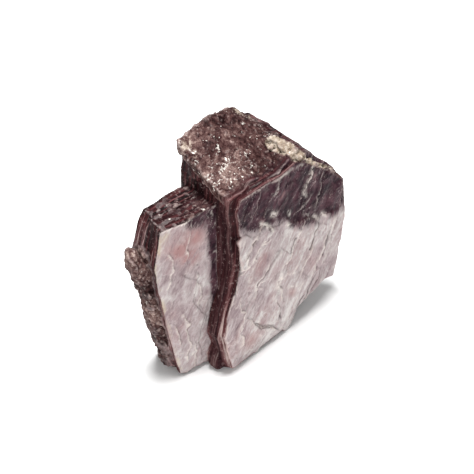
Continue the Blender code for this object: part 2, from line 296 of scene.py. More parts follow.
def chips(across, up, streak, length, width, seed):
    """Small flat chips, each with its own level and tilt, drawn out along a streak."""
    wander = np.stack([across / length, up / length, np.full(len(across), seed * 2.3)], axis=1) * 2.0
    along_streak = across * math.cos(streak) + up * math.sin(streak)
    across_streak = up * math.cos(streak) - across * math.sin(streak)
    lengthways = along_streak / length + CHIP_WANDER * layered_noise(wander, 3, seed)
    sideways = across_streak / width + CHIP_WANDER * layered_noise(wander, 3, seed + 7)
    corner_l, corner_s = np.floor(lengthways).astype(np.int64), np.floor(sideways).astype(np.int64)
    nearest = np.full(len(across), 9.0)
    height = np.zeros(len(across))
    for step_l, step_s in np.ndindex(3, 3):
        cell_l, cell_s = corner_l + step_l - 1, corner_s + step_s - 1
        key = seed * SEED_PRIME ^ cell_l * PRIMES[0] ^ cell_s * PRIMES[1]
        key = (key ^ (key >> 13)) & 4095
        along = lengthways - cell_l - 0.5 - CENTRE_JITTER * NOISE_TABLE[(key + 11) & 4095]
        aside = sideways - cell_s - 0.5 - CENTRE_JITTER * NOISE_TABLE[(key + 977) & 4095]
        gap = np.hypot(along, aside)
        tilt_along, tilt_aside = NOISE_TABLE[(key + 313) & 4095], NOISE_TABLE[(key + 771) & 4095]
        plane = NOISE_TABLE[key] + tilt_along * along + tilt_aside * aside
        closer = gap < nearest
        nearest = np.where(closer, gap, nearest)
        height = np.where(closer, plane, height)
    return height


print("a crumb cell's gap:", round(float(cell_noise(np.zeros((1, 3)) + 0.4)[0][0]), 3))

# %% [markdown]
# ## Which part of the rock is which
#
# Each point is sorted by its place and normal, because the remeshed skin no longer knows which face it came
# from. Cleavage faces look along the stack of sheets and sheet edges look across it. The shares run smoothly
# from 0 to 1, so one finish can fade into the next.

# %% The two books and their cleavage faces
SMALL_BOOK_TOP = 57.0
LOOKS_ALONG_STACK = (0.72, 0.93)


def small_book_share(u, w, z):
    """1 on the small book and 0 on the large one."""
    left_of_corner = smooth_between(-u, -0.9, 0.3)
    behind_its_face = smooth_between(w, -1.1, -0.6)
    return left_of_corner * behind_its_face * smooth_between(SMALL_BOOK_TOP - z, 0.0, 1.0)


x, y, z = places.T
u, w = small_book_places(places)
small = small_book_share(u, w, z)
depth = np.where(small > 0.5, w, y)
along_stack = np.where(small > 0.5, normals @ SMALL_W, normals[:, 1])
cleavage = smooth_between(np.abs(along_stack), *LOOKS_ALONG_STACK)
big_front = smooth_between(-y, -1.25, -0.85)
big_stepped_end = smooth_between(x, 6.0, 10.0) * smooth_between(np.abs(y - 9.0), 4.2, 5.0)
big_back = smooth_between(y, 17.4, 18.0)
big_outer = np.maximum(np.maximum(big_front, big_stepped_end), big_back)
small_outer = np.maximum(smooth_between(-w, -0.6, -0.3), smooth_between(w, 9.4, 10.0))
cleavage *= np.where(small > 0.5, small_outer, big_outer)
print("small book:", f"{small.mean():.0%}", "of the points")

# %% [markdown]
# The crust lies on the sloping top and in patches on the small book's top. At its right end a ridge of tan
# crumbs runs down the rock's edge, along a line with a radius at each point.

# %% The crust and the ridge
ROOF_FRONT = 57.6
ROOF_FALL = 0.055
ROOF_SLOPE = 0.41
CRUST_END = 24.0
SMALL_TOP_SHARE = 0.8
RIDGE_LINE = [(20.6, 6.6, 60.2, 2.6), (22.0, 3.8, 59.5, 2.6), (23.2, 1.4, 57.8, 2.2), (25.4, 0.4, 56.2, 1.3),
              (28.6, 0.6, 52.8, 0.9), (33.0, 1.2, 48.6, 1.0), (37.6, 1.4, 44.4, 1.2)]


def near_line(points, line):
    """1 on a line through (x, y, z, radius) points, and 0 at its radius."""
    best = np.zeros(len(points))
    for start, end in zip(np.array(line), np.array(line)[1:]):
        way = end[:3] - start[:3]
        share = np.clip((points - start[:3]) @ way / (way @ way), 0.0, 1.0)
        gap = np.linalg.norm(points - start[:3] - share[:, None] * way, axis=1)
        best = np.maximum(best, 1.0 - gap / (start[3] + share * (end[3] - start[3])))
    return best


ragged = layered_noise(places / 1.7, 3, 3)
roof_height = ROOF_FRONT - ROOF_FALL * x + ROOF_SLOPE * np.clip(y - 1.0, 0.0, 20.0)
near_top = smooth_between(z - roof_height + 0.7 * ragged, -3.4, -2.4)
crust = near_top * smooth_between(y + 0.6 * ragged, 2.2, 3.4) * smooth_between(CRUST_END - x + ragged, -0.4, 1.2)
crust *= 1.0 - small
small_top = SMALL_TOP_SHARE * small * smooth_between(normals[:, 2], 0.55, 0.8) * smooth_between(z, 49.0, 50.5)
small_top *= smooth_between(layered_noise(places / 1.3, 3, 15), 0.0, 0.5)
crust = np.maximum(crust, small_top)
crust *= 1.0 - smooth_between(along_stack, 0.75, 0.9) * smooth_between(z - roof_height, -2.6, -2.0) * 0.5
ridge_gap = near_line(places, RIDGE_LINE)
on_ridge = smooth_between(ridge_gap + 0.2 * ragged * smooth_between(ridge_gap, 0.0, 0.3), 0.0, 0.35)
crust = np.maximum(crust, on_ridge)
print("crust:", f"{crust.mean():.0%}", "of the points")

# %% [markdown]
# The rind is a band of lumps that grew down the small book's outer edge. It follows a line on that book's
# face, at one depth in its stack, and reaches as far as a stretched distance from the line. Whatever is left
# over is the broken edge of the sheets.

# %% The rind, and all four shares
RIND_LINE = [
    (-19.9, 43.0), (-19.6, 41.2), (-18.8, 38.4), (-17.4, 34.6), (-16.2, 30.0), (-15.2, 24.4),
    (-14.1, 18.0), (-12.8, 11.6), (-11.4, 5.4), (-10.1, -0.8),
]
RIND_DEPTH = 6.2
RIND_STRETCH = 1.45
RIND_REACH = (2.7, 3.7)


def nearest_on_line(across, up, line):
    """Distance to a line of straight pieces, and on which side of it each point lies."""
    best = np.full(len(across), 1e9)
    side = np.zeros(len(across))
    for (x0, z0), (x1, z1) in zip(line, line[1:]):
        dx, dz = x1 - x0, z1 - z0
        share = np.clip(((across - x0) * dx + (up - z0) * dz) / (dx * dx + dz * dz), 0.0, 1.0)
        gap = np.hypot(across - x0 - share * dx, up - z0 - share * dz)
        turn = dx * (up - z0) - dz * (across - x0)
        closer = gap < best
        best = np.where(closer, gap, best)
        side = np.where(closer, np.sign(turn), side)
    return best, side


gap, _ = nearest_on_line(u, z, RIND_LINE)
reach = np.hypot(gap, (w - RIND_DEPTH) / RIND_STRETCH) + 0.5 * ragged
rind = smooth_between(-reach, -RIND_REACH[1], -RIND_REACH[0]) * small
cleavage = cleavage * (1.0 - crust) * (1.0 - rind)
edges = (1.0 - cleavage) * (1.0 - crust) * (1.0 - rind)
shares = (("cleavage", cleavage), ("edges", edges), ("crust", crust), ("rind", rind))
print({name: f"{share.mean():.0%}" for name, share in shares})

# %% [markdown]
# ## Tears and cracks
#
# Where a mica sheet has torn, it leaves a sharp step that fades away from the tear, and where the book is
# cracked, a dark groove. Both run as short ragged lines, in the places where the photograph shows them. A tear
# is (height, width of its fade, corners) and lifts the rock on one side of the line only. A crack is (depth,
# width, corners) and sinks both sides. Noise alone would put them anywhere, so each one has its own line.

# %% Tears and cracks on the cleavage faces
BIG_TEARS = [
    (0.45, 2.4, [(4.3, 37.4), (6.4, 40.3), (8.6, 41.8), (10.2, 44.0)]),
    (0.35, 2.0, [(6.6, 35.4), (8.3, 37.7), (11.1, 39.5)]),
    (0.40, 2.0, [(0.9, 31.0), (2.2, 34.1), (4.6, 34.6)]),
    (0.45, 2.6, [(7.2, 22.6), (7.3, 26.4), (9.8, 26.9), (12.4, 29.8)]),
    (0.55, 2.6, [(15.2, 17.8), (16.1, 21.6), (18.8, 21.0), (21.9, 20.6), (24.8, 22.6)]),
    (0.35, 2.4, [(18.4, 13.6), (17.4, 17.4), (15.6, 21.4)]),
    (0.50, 3.0, [(15.4, 4.6), (13.4, 7.2), (10.2, 9.2), (8.7, 11.5), (6.0, 14.6)]),
    (0.35, 2.4, [(3.4, 8.4), (2.0, 13.4), (3.6, 19.8), (2.6, 24.6)]),
    (0.45, 2.6, [(17.2, 25.6), (20.8, 26.6), (22.9, 31.0), (24.6, 35.0)]),
    (0.40, 2.0, [(6.8, 23.9), (8.4, 25.8), (10.8, 25.2)]),
    (0.40, 1.8, [(7.6, 35.6), (9.6, 38.0), (12.2, 38.0)]),
    (0.40, 1.8, [(2.0, 32.2), (4.2, 34.0), (5.0, 36.4)]),
    (0.45, 2.8, [(25.6, 18.4), (27.2, 21.6), (29.2, 25.0), (31.4, 29.6)]),
    (0.35, 2.6, [(20.4, 4.6), (23.2, 8.6), (25.8, 13.6)]),
    (0.45, 2.4, [(29.0, 12.8), (31.4, 17.6), (34.6, 22.4), (36.4, 28.4)]),
    (0.60, 2.2, [(25.3, 45.2), (26.7, 47.3), (29.1, 51.7)]),
    (0.35, 1.8, [(14.1, 51.5), (15.1, 52.8), (16.1, 54.7), (17.2, 56.6)]),
    (0.35, 1.8, [(23.3, 39.6), (25.6, 40.5), (27.8, 41.8)]),
    (0.30, 2.0, [(6.2, 47.6), (8.6, 50.6), (9.2, 54.2)]),
    (0.35, 2.0, [(30.6, 38.6), (32.4, 42.6), (32.0, 46.0), (34.0, 48.0)]),
    (0.30, 2.4, [(34.2, 16.0), (36.4, 20.2), (38.4, 26.4)]),
]
BIG_CRACKS = [
    (0.55, 0.34, [(28.2, 24.2), (30.2, 27.4), (31.4, 31.2)]),
    (0.40, 0.26, [(17.7, 6.6), (17.5, 10.8)]),
    (0.16, 0.22, [(7.4, 12.6), (10.0, 8.8), (13.6, 6.6)]),
    (0.26, 0.24, [(3.8, 36.6), (6.0, 39.4), (8.4, 41.2)]),
    (0.26, 0.24, [(20.2, 27.4), (22.4, 32.2)]),
    (0.26, 0.24, [(24.8, 45.0), (26.2, 47.5), (28.4, 51.6)]),
    (0.30, 0.22, [(24.4, 5.4), (28.0, 10.2), (31.8, 16.4)]),
    (0.30, 0.22, [(26.8, 6.0), (29.8, 9.8), (33.4, 15.4)]),
    (0.26, 0.22, [(33.6, 19.0), (35.6, 23.2), (37.8, 29.4)]),
]
SMALL_TEARS = [
    (0.26, 2.0, [(-13.4, 33.0), (-11.6, 38.4), (-12.2, 43.6)]),
    (0.24, 2.0, [(-8.6, 6.4), (-8.2, 14.2), (-9.4, 20.6)]),
    (0.24, 1.8, [(-4.8, 22.6), (-4.2, 29.0), (-5.4, 34.0)]),
    (0.28, 1.8, [(-11.2, 12.4), (-12.2, 18.6)]),
    (0.24, 1.6, [(-7.8, 40.6), (-8.4, 43.4), (-7.2, 47.8)]),
    (0.24, 1.6, [(-6.8, 1.6), (-6.0, 7.6), (-6.6, 10.2)]),
]
print(len(BIG_TEARS) + len(SMALL_TEARS), "tears and", len(BIG_CRACKS), "cracks")

# %% [markdown]
# Between the tears, sheets end in low terraces that run along one streak, with smaller chips and a fine
# ripple on them. One function adds them up for a face, and says where light will catch a torn edge.

# %% The relief of a cleavage face
TEAR_RAGGED = 0.75
BIG_STREAK = math.radians(57.0)
SMALL_STREAK = math.radians(66.0)
TERRACE_LEVELS = 2.6
BIG_TERRACE = 0.12
SMALL_TERRACE = 0.08
RIPPLE = 0.06
BIG_CHIPS = ((13.0, 4.2, 0.15), (5.0, 1.8, 0.08))
SMALL_CHIPS = ((8.0, 3.4, 0.09), (3.2, 1.5, 0.055))


def lift_tears(height, across, up, tears):
    torn = np.zeros(len(across))
    for lift, fade_width, line in tears:
        gap, side = nearest_on_line(across, up, line)
        raised = smooth_between(gap * side, -0.10, 0.10)
        below = 0.4 * lift * np.exp(-gap / 0.5) * (1.0 - raised)
        height += lift * raised * np.exp(-((gap / fade_width) ** 2)) - below
        torn = np.maximum(torn, np.exp(-((gap / 0.42) ** 2)) * raised)
    return torn


def sink_cracks(height, across, up, cracks):
    cracked = np.zeros(len(across))
    for sink, width, line in cracks:
        gap, _ = nearest_on_line(across, up, line)
        groove = np.exp(-((gap / width) ** 2))
        height -= sink * groove
        cracked = np.maximum(cracked, groove)
    return cracked


def face_relief(across, up, streak, tears, cracks, chip_sizes, terrace, seed):
    """Height in millimetres over a cleavage face, and how torn and how cracked it is at each point."""
    flat = np.stack([across, up, np.full(len(across), seed * 3.7)], axis=1)
    wander_a = TEAR_RAGGED * layered_noise(flat / 2.6, 3, seed)
    wander_u = TEAR_RAGGED * layered_noise(flat / 2.6, 3, seed + 9)
    height = np.zeros(len(across))
    torn = lift_tears(height, across + wander_a, up + wander_u, tears)
    cracked = sink_cracks(height, across + wander_a * 0.6, up + wander_u * 0.6, cracks)
    lengthways = across * math.cos(streak) + up * math.sin(streak)
    sideways = -across * math.sin(streak) + up * math.cos(streak)
    grain = np.stack([lengthways / 11.0, sideways / 4.2, np.full(len(across), seed * 1.3)], axis=1)
    grain[:, 1] += 0.5 * layered_noise(flat / 5.0, 2, seed + 4)
    level = layered_noise(grain, 2, seed + 20) + 0.05 * layered_noise(flat / 1.3, 2, seed + 60)
    level = level * TERRACE_LEVELS
    within_step = level - np.floor(level)
    height += terrace * (np.floor(level) + smooth_between(within_step, 0.0, 0.11))
    ripple = np.stack([lengthways / 3.6, sideways / 1.1, np.full(len(across), seed * 5.1)], axis=1)
    height += RIPPLE * layered_noise(ripple, 3, seed + 30)
    for k, (length, width, tall) in enumerate(chip_sizes):
        height += tall * chips(across, up, streak, length, width, seed + 50 + k)
    edge_of_step = 1.0 - smooth_between(np.abs(within_step - 0.08), 0.02, 0.16)
    in_patches = smooth_between(noise(flat / 3.0, seed + 40), 0.0, 0.5)
    return height, np.maximum(torn, 0.45 * edge_of_step * in_patches), cracked


big_height, big_torn, big_cracked = face_relief(
    x, z, BIG_STREAK, BIG_TEARS, BIG_CRACKS, BIG_CHIPS, BIG_TERRACE, 1)
small_height, small_torn, small_cracked = face_relief(
    u, z, SMALL_STREAK, SMALL_TEARS, [], SMALL_CHIPS, SMALL_TERRACE, 2)
face_height = np.where(small > 0.5, small_height, big_height)
cracked = np.where(small > 0.5, small_cracked, big_cracked) * cleavage
print("faces reach", round(float(face_height.max()), 2), "mm out and", round(float(face_height.min()), 2), "in")

# %% [markdown]
# Lifted flakes also scatter light where they hardly raise the face, as white scratches in the dark zone and a
# pale line down the large book's left edge. Such a mark is (width, strength, corners) and is only colour.

# %% Pale marks
PALE_MARKS = [
    (0.42, 0.55, [(3.2, 56.6), (11.1, 56.3), (16.1, 55.5), (20.8, 55.2), (24.5, 54.4)]),
    (0.85, 0.95, [(25.6, 45.8), (26.9, 47.5), (29.1, 51.9)]),
    (0.40, 0.70, [(25.3, 45.4), (26.6, 43.4)]),
    (0.36, 0.45, [(14.1, 51.5), (15.1, 52.8), (16.1, 54.7), (17.4, 58.4)]),
    (0.34, 0.50, [(23.3, 39.6), (25.6, 40.5), (27.8, 41.5)]),
    (0.40, 0.70, [(4.6, 37.4), (6.6, 40.2), (8.4, 41.2)]),
    (0.40, 0.60, [(15.6, 18.6), (16.4, 21.0), (18.6, 20.6)]),
    (0.50, 0.95, [(9.6, 44.9), (11.4, 43.4), (12.6, 42.0), (13.7, 40.4)]),
    (0.70, 0.95, [(14.0, 45.4), (15.2, 44.4)]),
    (0.50, 0.90, [(18.6, 39.4), (20.2, 37.9)]),
    (0.45, 0.80, [(20.0, 42.6), (20.4, 41.2)]),
    (0.50, 0.90, [(30.0, 34.4), (31.4, 33.0)]),
    (0.45, 0.90, [(33.2, 33.4), (34.6, 32.0)]),
    (0.55, 0.80, [(21.2, 20.6), (22.8, 19.8)]),
    (0.30, 0.60, [(0.9, 51.6), (2.0, 44.0), (2.0, 35.0), (0.7, 27.5), (-2.2, 20.6), (-3.2, 15.0)]),
]
MARK_RAGGED = 0.26


def pale_marks(across, up, marks):
    flat = np.stack([across, up, np.full(len(across), 4.1)], axis=1)
    shift = [MARK_RAGGED * layered_noise(flat / 1.6, 3, seed) for seed in (81, 85)]
    marked = np.zeros(len(across))
    for width, strength, line in marks:
        gap, _ = nearest_on_line(across + shift[0], up + shift[1], line)
        marked = np.maximum(marked, strength * np.exp(-((gap / width) ** 2)))
    return marked


marked = pale_marks(x, z, PALE_MARKS) * smooth_between(-y, -3.0, -1.0) * (1.0 - small)
torn = np.where(small > 0.5, small_torn, big_torn) * cleavage
torn *= 1.0 - 0.75 * smooth_between(z + 0.36 * x, 46.0, 49.0) * (1.0 - small)
# Painted highlight: a ragged pale line along the small book's upper front edge, where its rim turns up toward
# the lamp, joins the torn lines.
upper_edge_highlight = small * smooth_between(z, 48.0, 49.5) * smooth_between(-w, -1.1, -0.3)
upper_edge_highlight *= smooth_between(normals[:, 2], 0.12, 0.3) * smooth_between(-normals[:, 2], -0.95, -0.8)
torn = np.maximum(torn, upper_edge_highlight * smooth_between(ragged, -0.5, 0.2))
print("torn or marked:", f"{(np.maximum(torn, marked) > 0.3).mean():.0%}", "of the points")

# %% [markdown]
# ## Sheet edges, crust and rind
#
# The broken edge of a book shows its sheets as fine ridges, each a little further out or in than the next and
# running on for many millimetres. The crust and the rind are crumbs and grains instead, made with scattered
# cells: each cell is one crumb with its own height.

# %% Relief of the edges, the crust and the rind
SHEET_RIDGE = 0.17
CRUMB_SIZES = ((3.4, 0.26), (1.5, 0.17), (0.7, 0.12))
RIDGE_SIZES = ((1.9, 0.42), (0.9, 0.26))
RIND_SIZES = ((3.2, 0.42), (1.5, 0.26), (0.75, 0.14))
CRUST_RISE = 0.30
RIND_RISE = 0.25


def sheet_ridges(depth, places):
    slow = places / 9.0
    fine = np.stack([depth / 0.95, slow[:, 2] + slow[:, 0], slow[:, 1] * 0.0 + 1.7], axis=1)
    coarse = np.stack([depth / 2.3, slow[:, 2] * 1.7, slow[:, 0] * 1.7], axis=1)
    bite = layered_noise(places / 3.2, 3, 51)
    return SHEET_RIDGE * (noise(fine, 41) + 1.2 * noise(coarse, 42) - 0.4 + 0.8 * np.minimum(bite, 0.0))


def crumbs(places, sizes, seed):
    total = np.zeros(len(places))
    for k, (size, height) in enumerate(sizes):
        gap, kept = cell_noise(places / size + 0.3 * noise(places / size, seed + 5)[:, None], seed + k)
        total += height * (kept * 0.7 + 0.45 - gap)
    return total


ridge_height = sheet_ridges(depth, places)
crust_height = crumbs(places, CRUMB_SIZES, 61) + CRUST_RISE
crust_height += crumbs(places, RIDGE_SIZES, 67) * on_ridge
rind_height = crumbs(places, RIND_SIZES, 71) + RIND_RISE
print("crust is up to", round(float(crust_height.max()), 2), "mm high")

# %% [markdown]
# A broken rock doesn't meet the table in a clean line: its lower rim rises and dips, and only what lies
# further in rests on the table. The points near the rim are found by spreading a share of the side walls into
# the flat foot, and lifted by a slow noise.

# %% The uneven lower rim
RIM_LIFT = 1.25
RIM_ROUNDS = 24
RIM_HEIGHT = 5.0

on_floor = smooth_between(z, 0.15, 1.0)[:, None]
near_rim = spread(smooth_between(z, 0.05, 0.2), ends, RIM_ROUNDS) * 2.0
rise_and_dip = smooth_between(layered_noise(places * (1.0, 1.0, 0.0) / 4.5, 3, 33), -0.45, 0.55)
lift = RIM_LIFT * np.clip(near_rim, 0.0, 1.0) * rise_and_dip
lift *= np.clip(1.0 - z / RIM_HEIGHT, 0.0, 1.0)
print("rim lifted up to", round(float(lift.max()), 2), "mm")

# %% [markdown]
# ## Carve, and keep the outline
#
# Cleavage faces move along the stack, as whole sheets do, and everything else along its normal. The carved
# points must not leave the solid's box. How far a point stands out from its neighbours tells where proud edges
# are made pale, partly as wear and partly as a painted highlight, and where hollows get painted shade. This is
# stored with the shares as attributes, which follow the surface.

# %% Move the points
INSIDE_BOX = 0.01


def move_points(mesh, places):
    mesh.vertices.foreach_set("co", ((places + FOOT_SHIFT) * MM).astype(np.float32).ravel())
    mesh.update()


outward = np.where(small[:, None] > 0.5, SMALL_W, np.array([0.0, 1.0, 0.0])) * np.sign(along_stack)[:, None]
moved = (
    outward * (face_height * cleavage)[:, None]
    + normals * (ridge_height * edges + crust_height * crust + rind_height * rind)[:, None]
)
carved = places + moved * on_floor + lift[:, None] * (0.0, 0.0, 1.0)
low = np.array([value / MM for value in cad_box[0]]) - FOOT_SHIFT
high = np.array([value / MM for value in cad_box[1]]) - FOOT_SHIFT
carved = np.clip(carved, low + INSIDE_BOX, high - INSIDE_BOX)
carved[:, 2] = np.where(places[:, 2] < 0.2, lift, carved[:, 2])
move_points(rock.data, carved)
print("largest move:", round(float(np.abs(moved).max()), 2), "mm")

# %% Store what the material needs
SWELL_ROUNDS = 7


def store(mesh, name, values):
    attribute = mesh.attributes.new(name, "FLOAT", "POINT")
    attribute.data.foreach_set("value", values.astype(np.float32))


carved_normals = spread(read_points(rock.data, "normal"), ends, 2)
swell = np.einsum("ij,ij->i", carved - spread(carved, ends, SWELL_ROUNDS), carved_normals)
for name, share in shares:
    store(rock.data, name, share)
store(rock.data, "torn", np.maximum(torn, marked))
# Standing out gives pale edges, part wear and part painted highlight; sinking in gives painted shade in hollows.
store(rock.data, "worn_and_highlit", smooth_between(swell, 0.05, 0.16))
store(rock.data, "hollow", smooth_between(-swell, 0.03, 0.16))
store(rock.data, "cracked", cracked)
store(rock.data, "depth", depth)
print("standing out:", f"{(swell > 0.1).mean():.0%}", "of the points")

# %% [markdown]
# Flat stretches need few triangles and torn edges many, so the last step on the shape is a Decimate modifier,
# which takes triangles away where they aren't needed. It can put a point just outside the box, so the points
# are held inside it once more.

# %% Thin the net
MOST_TRIANGLES = 194000

triangles = 2 * len(rock.data.polygons)
apply_modifier(rock, "DECIMATE", decimate_type="COLLAPSE", ratio=min(1.0, MOST_TRIANGLES / triangles))
move_points(rock.data, np.clip(read_places(rock.data), low, high))
select_only(rock)
bpy.ops.object.shade_smooth()
print("carved:", len(rock.data.polygons), "faces, from", triangles, "triangles")

# %% [markdown]
# ## Node helpers
#
# The finishes are built from nodes in code. Short helpers keep that readable: they add a node and set or link
# its inputs, do sums, and make a group with named inputs and outputs.

# %% Adding and linking nodes
def is_socket(value):
    return isinstance(value, bpy.types.NodeSocket)


def add_node(tree, kind, inputs=None, **settings):
    node = tree.nodes.new(kind)
    for name, value in settings.items():
        setattr(node, name, value)
    for name, value in (inputs or {}).items():
        socket = node.inputs[name]
        if is_socket(value):
            tree.links.new(value, socket)
        else:
            socket.default_value = value
    return node


def math_node(tree, operation, first, second, clamp=False):
    node = add_node(tree, "ShaderNodeMath", {0: first, 1: second}, operation=operation, use_clamp=clamp)
    return node.outputs[0]


def times(tree, first, second):
    return math_node(tree, "MULTIPLY", first, second)


def plus(tree, first, second):
    return math_node(tree, "ADD", first, second)


def minus(tree, first, second):
    return math_node(tree, "SUBTRACT", first, second)


def weighed(tree, *parts):
    """The sum of (value, weight) parts, each value times its weight."""
    terms = [times(tree, value, weight) for value, weight in parts]
    total = terms[0]
    for term in terms[1:]:
        total = plus(tree, total, term)
    return total


print("sums ready")


# %% Ramps, fades, mixes and textures
def ramp(tree, value, stops):
    """A colour ramp through (position, colour) stops."""
    node = add_node(tree, "ShaderNodeValToRGB", {"Fac": value})
    elements = node.color_ramp.elements
    while len(elements) < len(stops):
        elements.new(0.5)
    for element, (position, colour) in zip(elements, stops):
        element.position = position
        element.color = (*colour, 1.0)
    return node.outputs["Color"]


def fade(tree, value, low, high):
    """0 at the low value, 1 at the high one, smooth between."""
    node = add_node(tree, "ShaderNodeMapRange", {"Value": value, "From Min": low, "From Max": high},
                    interpolation_type="SMOOTHSTEP")
    return node.outputs["Result"]


def mix_colour(tree, share, first, second):
    node = tree.nodes.new("ShaderNodeMix")
    node.data_type = "RGBA"
    for index, value in ((0, share), (6, first), (7, second)):
        if is_socket(value):
            tree.links.new(value, node.inputs[index])
        else:
            node.inputs[index].default_value = (*value, 1.0)
    return node.outputs[2]


def noise_texture(tree, vector, scale, detail=4.0, roughness=0.55, distortion=0.0):
    inputs = {"Vector": vector, "Scale": scale, "Detail": detail, "Roughness": roughness,
              "Distortion": distortion}
    return add_node(tree, "ShaderNodeTexNoise", inputs).outputs["Fac"]


def drawn_out(tree, vector, slope, length):
    """Places for a pattern that is drawn out along a line rising at this slope across the face."""
    inputs = {"Vector": vector, "Rotation": (0.0, -math.radians(slope), 0.0), "Scale": (length, 1.0, 1.0)}
    return add_node(tree, "ShaderNodeMapping", inputs, vector_type="TEXTURE").outputs[0]


print("textures ready")


# %% Groups
VALUE, VECTOR, COLOUR = "NodeSocketFloat", "NodeSocketVector", "NodeSocketColor"
FINISH = [("Color", COLOUR), ("Roughness", VALUE), ("Height", VALUE)]


def new_finish(name, values):
    """A group that is given the place and these values, and puts out a finish."""
    group = bpy.data.node_groups.new(name, "ShaderNodeTree")
    group.interface.new_socket("Vector", in_out="INPUT", socket_type=VECTOR)
    for value in values:
        group.interface.new_socket(value, in_out="INPUT", socket_type=VALUE)
    for socket_name, kind in FINISH:
        group.interface.new_socket(socket_name, in_out="OUTPUT", socket_type=kind)
    start = group.nodes.new("NodeGroupInput")
    end = group.nodes.new("NodeGroupOutput")
    return group, start.outputs, end.inputs


print("a finish gives", [name for name, _ in FINISH])

# %% [markdown]
# ## Pearly cleavage faces
#
# A cleavage face is pale lilac where the sheet is sound and clouded with grey and pink. The clouds and fibres
# are noise drawn out along the streak of the sheets. A painted picture would show its seams from the side, so
# the finish is worked out at each place in space instead.

# %% Cleavage finish: the grain of the sheets
FACE_STREAK = 60.0
FACE_DRAWN = 3.0

cleavage_finish, given, made = new_finish("cleavage_finish", ["Dark", "Torn", "Cracked", "Pink", "Tan"])
group = cleavage_finish
grain = drawn_out(group, given["Vector"], FACE_STREAK, FACE_DRAWN)
clouds = noise_texture(group, grain, 330.0, detail=7.0, roughness=0.62, distortion=0.6)
broad = noise_texture(group, grain, 120.0, detail=4.0, roughness=0.6)
specks = noise_texture(group, given["Vector"], 1000.0, detail=5.0, roughness=0.7)
fibres = noise_texture(group, grain, 1500.0, detail=6.0, roughness=0.7, distortion=0.5)
wide = noise_texture(group, grain, 42.0, detail=3.0, roughness=0.55)
tone = weighed(group, (clouds, 0.40), (fibres, 0.36), (wide, 0.24))
print("grain drawn out", FACE_DRAWN, "times")

# %% Cleavage finish: the pale lilac
PALE_CLOUDS = [(0.40, (0.195, 0.145, 0.152)), (0.47, (0.285, 0.232, 0.236)), (0.53, (0.350, 0.308, 0.304)),
               (0.60, (0.47, 0.442, 0.430))]
PINK_STAIN = (0.26, 0.135, 0.13)
TAN_STAIN = (0.40, 0.33, 0.23)

pale = ramp(group, tone, PALE_CLOUDS)
cloudy = times(group, fade(group, broad, 0.48, 0.72), fade(group, tone, 0.62, 0.44))
spotty = times(group, given["Pink"], fade(group, clouds, 0.30, 0.56))
pinked = math_node(group, "ADD", times(group, cloudy, 0.45), times(group, spotty, 1.4), clamp=True)
pale = mix_colour(group, times(group, pinked, 0.85), pale, PINK_STAIN)
tanned = times(group, given["Tan"], fade(group, clouds, 0.42, 0.58))
pale = mix_colour(group, times(group, tanned, 0.8), pale, TAN_STAIN)
print("pale lilac:", len(PALE_CLOUDS), "tones")

# %% [markdown]
# Toward the top, where the rock is stained, the face is a deep purple with softer clouds and pale scratches.
# The border is an attribute that says where the stain ends, and the grain sways it only where it is halfway,
# so that no streak of purple strays into the pale part.

# %% Cleavage finish: the purple stain and its border
DARK_CLOUDS = [(0.40, (0.009, 0.003, 0.006)), (0.48, (0.022, 0.008, 0.013)), (0.57, (0.060, 0.027, 0.035)),
               (0.68, (0.18, 0.105, 0.108))]
SCRATCH = (0.42, 0.35, 0.35)
SCRATCH_STREAK = 48.0
SCRATCH_DRAWN = 2.4

soft = noise_texture(group, given["Vector"], 230.0, detail=6.0, roughness=0.62, distortion=0.8)
dark = ramp(group, weighed(group, (soft, 0.55), (tone, 0.45)), DARK_CLOUDS)
scratch_grain = drawn_out(group, given["Vector"], SCRATCH_STREAK, SCRATCH_DRAWN)
scratches = noise_texture(group, scratch_grain, 1250.0, detail=5.0, roughness=0.7, distortion=1.4)
patches = noise_texture(group, given["Vector"], 190.0, detail=2.0)
scratched = times(group, fade(group, scratches, 0.57, 0.66), fade(group, patches, 0.44, 0.62))
dark = mix_colour(group, times(group, scratched, 0.55), dark, SCRATCH)
sway = weighed(group, (minus(group, tone, 0.5), 3.6), (minus(group, broad, 0.5), 0.9))
halfway = times(group, given["Dark"], minus(group, 4.0, times(group, given["Dark"], 4.0)))
border = plus(group, given["Dark"], times(group, sway, halfway))
colour = mix_colour(group, fade(group, border, 0.22, 0.78), pale, dark)
print("purple stain:", len(DARK_CLOUDS), "tones")

# %% [markdown]
# The torn edges of sheets show as thin cream lines, because light scatters in the lifted flakes, and cracks
# are painted dark as shade.

# %% Cleavage finish: torn edges, cracks and outputs
TORN_FLAKE_AND_HIGHLIGHT = (0.66, 0.60, 0.55)
CRACK_SHADE = (0.030, 0.016, 0.018)

# The torn mask also brings the painted highlight along the small book's upper front edge.
torn_and_highlit_line = times(group, given["Torn"], fade(group, specks, 0.36, 0.54))
colour = mix_colour(group, times(group, torn_and_highlit_line, 0.78), colour, TORN_FLAKE_AND_HIGHLIGHT)
# Painted shade: the cracks are darkened.
colour = mix_colour(group, times(group, given["Cracked"], 0.8), colour, CRACK_SHADE)
height = weighed(group, (fibres, 0.65), (specks, 0.35))
group.links.new(colour, made["Color"])
group.links.new(fade(group, specks, 0.2, 0.95), made["Roughness"])
group.links.new(times(group, plus(group, height, clouds), 0.55), made["Height"])
print("cleavage finish:", len(group.nodes), "nodes")

# %% [markdown]
# ## Sheet edges
#
# Seen from the side, a book of mica is a stack of maroon and nearly black lines with a few pale ones. The
# lines follow the depth in the stack, which the mesh carries as an attribute, so they stay parallel to the
# sheets in both books. Where the rock is Calm, the lines sink into one dark maroon, and Shade moves them all
# lighter or darker.

# %% Sheet edge finish
EDGE_LINES = [(0.36, (0.004, 0.001, 0.001)), (0.46, (0.018, 0.004, 0.005)), (0.53, (0.060, 0.016, 0.017)),
              (0.59, (0.135, 0.068, 0.068)), (0.67, (0.36, 0.275, 0.255))]
CALM_MAROON = (0.018, 0.005, 0.007)
EDGE_SPECK = (0.32, 0.23, 0.22)
LINE_RUN = 28.0

